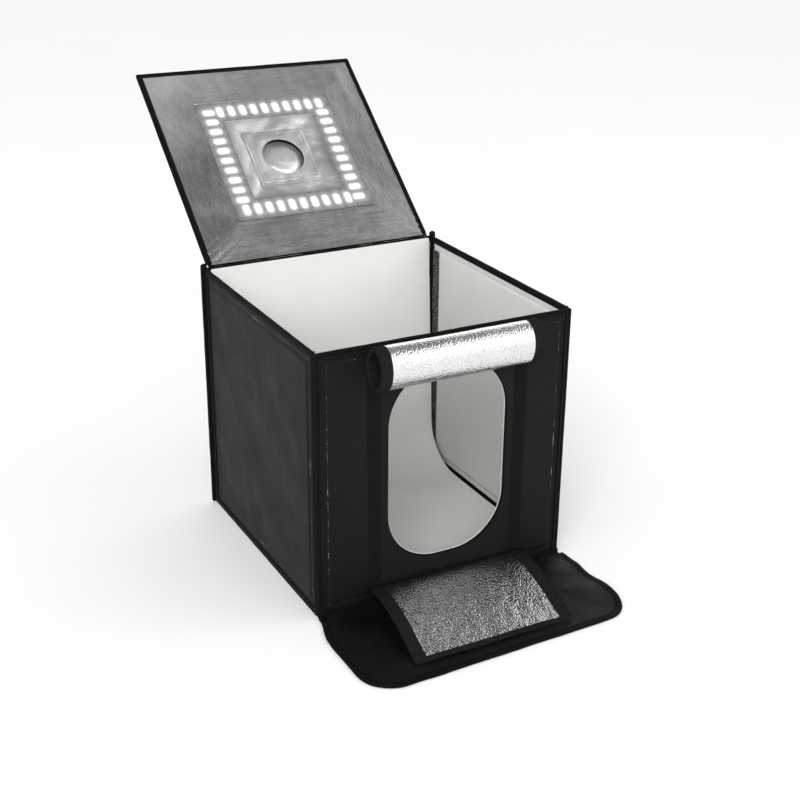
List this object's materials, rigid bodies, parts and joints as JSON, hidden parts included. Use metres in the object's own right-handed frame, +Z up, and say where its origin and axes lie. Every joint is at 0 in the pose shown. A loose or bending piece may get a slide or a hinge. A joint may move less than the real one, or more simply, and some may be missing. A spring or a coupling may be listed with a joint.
{
  "type": "photo tent",
  "caption": "Collapsible cube-shaped photo tent with an open hinged lid holding a ring of lights, a white curved backdrop, a front window with rolled and folded flaps, and a front apron.",
  "frame": {"origin": "centre of the box's footprint on the ground", "axes": "+Z up, front window faces -Y, lid hinge along X at the top of the back"},
  "size_m": [0.424, 0.9002, 0.6415],
  "materials": {
    "nylon": "matt black coated nylon",
    "binding": "black ribbed edge binding",
    "hook_tape": "black hook tape",
    "loop_tape": "black loop tape",
    "silver": "embossed metallised cloth",
    "white_lining": "pale coated lining",
    "backdrop_sheet": "matt white vinyl sheet",
    "stiffener": "plain board",
    "foam": "thin foam sheet",
    "circuit_board": "white circuit board",
    "light": "white light",
    "diffuser": "translucent film",
    "lead": "two-core flat lead",
    "inlet_plastic": "moulded black plastic",
    "inlet_pin": "plated pin"
  },
  "bodies": {
    "base": {"base_skin": "nylon", "base_board": "stiffener", "base_lining": "white_lining", "base_binding": "binding", "front_skin": "nylon", "front_board": "stiffener", "front_lining": "white_lining", "front_binding": "binding", "window_edging": "binding", "window_loop_strip_left": "loop_tape", "window_loop_strip_right": "loop_tape", "front_corner_tape": "loop_tape", "front_hinge_tapes": "binding", "backdrop": "backdrop_sheet"},
    "left_wall": {"left_skin": "nylon", "left_board": "stiffener", "left_lining": "white_lining", "left_binding": "binding", "left_rear_hook_tape": "hook_tape", "left_front_hook_tape": "hook_tape"},
    "right_wall": {"right_skin": "nylon", "right_board": "stiffener", "right_lining": "white_lining", "right_binding": "binding", "right_rear_hook_tape": "hook_tape", "right_front_hook_tape": "hook_tape"},
    "back_wall": {"back_skin": "nylon", "back_board": "stiffener", "back_lining": "white_lining", "back_binding": "binding", "back_loop_tape": "loop_tape", "backdrop_hook_tape": "hook_tape"},
    "lid": {"lid_skin": "nylon", "lid_board": "stiffener", "lid_lining": "silver", "lid_binding": "binding", "lid_hinge_tape": "binding", "port_patch": "silver", "port_edging": "binding", "light_boards": "circuit_board", "lights": "light", "diffuser_film": "diffuser", "light_lead": "lead", "power_jack": "inlet_plastic", "jack_pin": "inlet_pin", "port_loop_tape": "loop_tape", "port_flap_hinge_tape": "binding"},
    "port_flap": {"port_flap": "silver", "port_flap_hook_tape": "hook_tape"},
    "rolled_flap": {"upper_flap_roll": "silver", "roll_border_left": "hook_tape", "roll_border_right": "hook_tape", "upper_flap_tab": "nylon"},
    "lower_flap": {"lower_flap": "silver", "lower_flap_border": "hook_tape"},
    "apron": {"apron_binding": "binding", "apron_skin": "nylon", "apron_foam": "foam", "apron_lining": "nylon"}
  },
  "joints": [
    {"name": "lid_hinge", "type": "hinge", "parent": "back_wall", "child": "lid", "pos_m": [0, 0.2063, 0.3983], "axis": [1, 0, 0], "range_deg": [-84.2, 140.8]},
    {"name": "port_flap_hinge", "type": "hinge", "parent": "lid", "child": "port_flap", "pos_m": [0, 0.39631, 0.54346], "axis": [1, 0, 0], "range_deg": [0, 170]},
    {"name": "left_wall_fold", "type": "hinge", "parent": "base", "child": "left_wall", "pos_m": [-0.2, 0, 0], "axis": [0, -1, 0], "range_deg": [0, 90]},
    {"name": "right_wall_fold", "type": "hinge", "parent": "base", "child": "right_wall", "pos_m": [0.2, 0, 0], "axis": [0, 1, 0], "range_deg": [0, 90]},
    {"name": "back_wall_fold", "type": "hinge", "parent": "base", "child": "back_wall", "pos_m": [0, 0.206, 0], "axis": [-1, 0, 0], "range_deg": [0, 62], "deforming": ["backdrop"]},
    {"name": "upper_flap_lift", "type": "hinge", "parent": "base", "child": "rolled_flap", "pos_m": [0, -0.2014, 0.389], "axis": [-1, 0, 0], "range_deg": [0, 60]},
    {"name": "apron_fold", "type": "hinge", "parent": "base", "child": "apron", "pos_m": [0, -0.202, 0.006], "axis": [-1, 0, 0], "range_deg": [0, 90]},
    {"name": "lower_flap_fold", "type": "hinge", "parent": "base", "child": "lower_flap", "pos_m": [0, -0.2018, 0.028], "axis": [-1, 0, 0], "range_deg": [0, 98.18]}
  ],
  "couplings": [
    {"joint": "lower_flap_fold", "follows": "apron_fold", "ratio": 1.0909}
  ]
}
